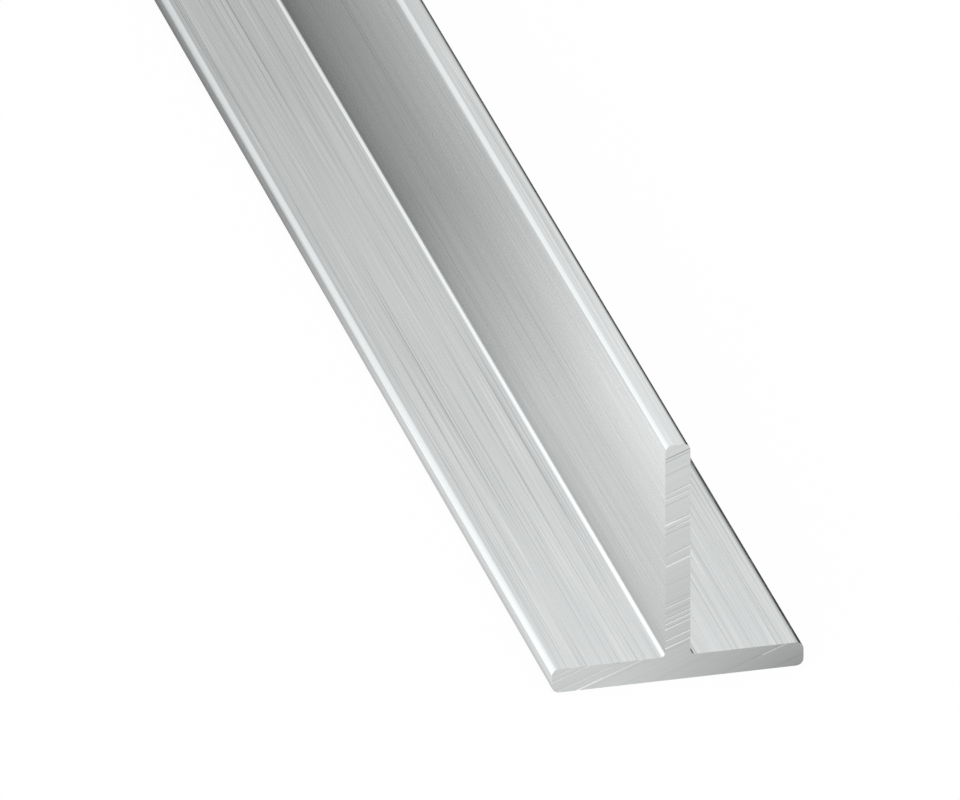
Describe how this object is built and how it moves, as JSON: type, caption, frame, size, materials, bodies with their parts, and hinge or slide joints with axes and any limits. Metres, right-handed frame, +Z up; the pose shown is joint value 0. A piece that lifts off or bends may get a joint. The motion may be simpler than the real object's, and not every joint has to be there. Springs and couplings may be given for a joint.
{
  "type": "aluminium t-profile",
  "caption": "Straight extruded aluminium T-profile with a flat flange, an upright central web, rounded edges and sawn ends, used as stock for edging, framing and dividing panels.",
  "frame": {"origin": "middle of the flange's underside, halfway along the bar", "axes": "+Z up the web, +Y along the bar, +X across the flange"},
  "size_m": [0.02, 1, 0.02],
  "materials": {
    "mill_aluminium": "brushed along the length, sawn at the ends"
  },
  "bodies": {
    "root": {"tee_bar": "mill_aluminium"}
  },
  "joints": []
}
